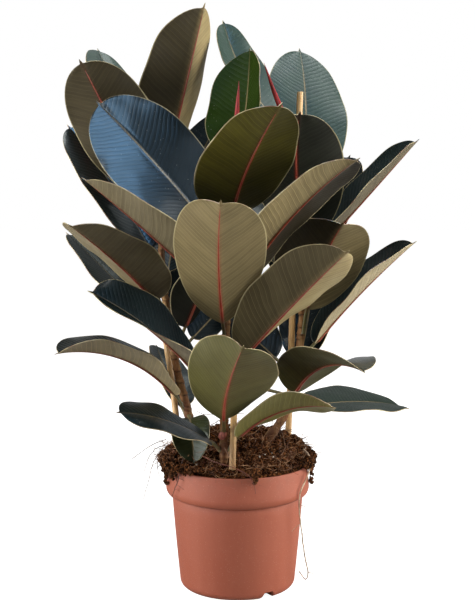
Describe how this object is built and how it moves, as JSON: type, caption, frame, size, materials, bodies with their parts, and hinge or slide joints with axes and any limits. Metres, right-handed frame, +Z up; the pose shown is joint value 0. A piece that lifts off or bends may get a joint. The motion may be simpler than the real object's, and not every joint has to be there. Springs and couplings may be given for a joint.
{
  "type": "potted rubber plant",
  "caption": "Bushy rubber plant with broad glossy dark leaves on leaning woody stems with canes, in a round terracotta-coloured plastic nursery pot.",
  "frame": {"origin": "centre of the pot's flat underside, on the surface it stands on", "axes": "+Z up along the pot's axis, -Y towards the front of the plant, +X to the right when seen from the front"},
  "size_m": [0.5436, 0.5757, 0.8476],
  "materials": {
    "pot_plastic": "matte",
    "compost": "matte",
    "bark": "satin",
    "cane": "satin",
    "red_bud": "satin",
    "leaf_green": "gloss",
    "root_brown": "matte"
  },
  "bodies": {
    "root": {"pot": "pot_plastic", "soil": "compost", "stem_left": "bark", "stem_front": "bark", "stem_right": "bark", "cane_left": "cane", "cane_front": "cane", "cane_right": "cane", "sheath_left": "red_bud", "sheath_front": "red_bud", "sheath_right": "red_bud", "leaf_left_01": "leaf_green", "leaf_left_02": "leaf_green", "leaf_left_03": "leaf_green", "leaf_left_04": "leaf_green", "leaf_left_05": "leaf_green", "leaf_left_06": "leaf_green", "leaf_left_07": "leaf_green", "leaf_left_08": "leaf_green", "leaf_left_09": "leaf_green", "leaf_left_10": "leaf_green", "leaf_left_11": "leaf_green", "leaf_left_12": "leaf_green", "leaf_left_13": "leaf_green", "leaf_left_14": "leaf_green", "leaf_front_01": "leaf_green", "leaf_front_02": "leaf_green", "leaf_front_03": "leaf_green", "leaf_front_04": "leaf_green", "leaf_front_05": "leaf_green", "leaf_front_06": "leaf_green", "leaf_front_07": "leaf_green", "leaf_front_08": "leaf_green", "leaf_front_09": "leaf_green", "leaf_front_10": "leaf_green", "leaf_front_11": "leaf_green", "leaf_right_01": "leaf_green", "leaf_right_02": "leaf_green", "leaf_right_03": "leaf_green", "leaf_right_04": "leaf_green", "leaf_right_05": "leaf_green", "leaf_right_06": "leaf_green", "leaf_right_07": "leaf_green", "leaf_right_08": "leaf_green", "leaf_right_09": "leaf_green", "leaf_right_10": "leaf_green", "leaf_right_11": "leaf_green", "leaf_right_12": "leaf_green", "leaf_right_13": "leaf_green", "leaf_right_14": "leaf_green", "leaf_right_15": "leaf_green", "root_long": "root_brown", "root_front": "root_brown", "root_rim": "root_brown", "root_side": "root_brown"}
  },
  "joints": []
}
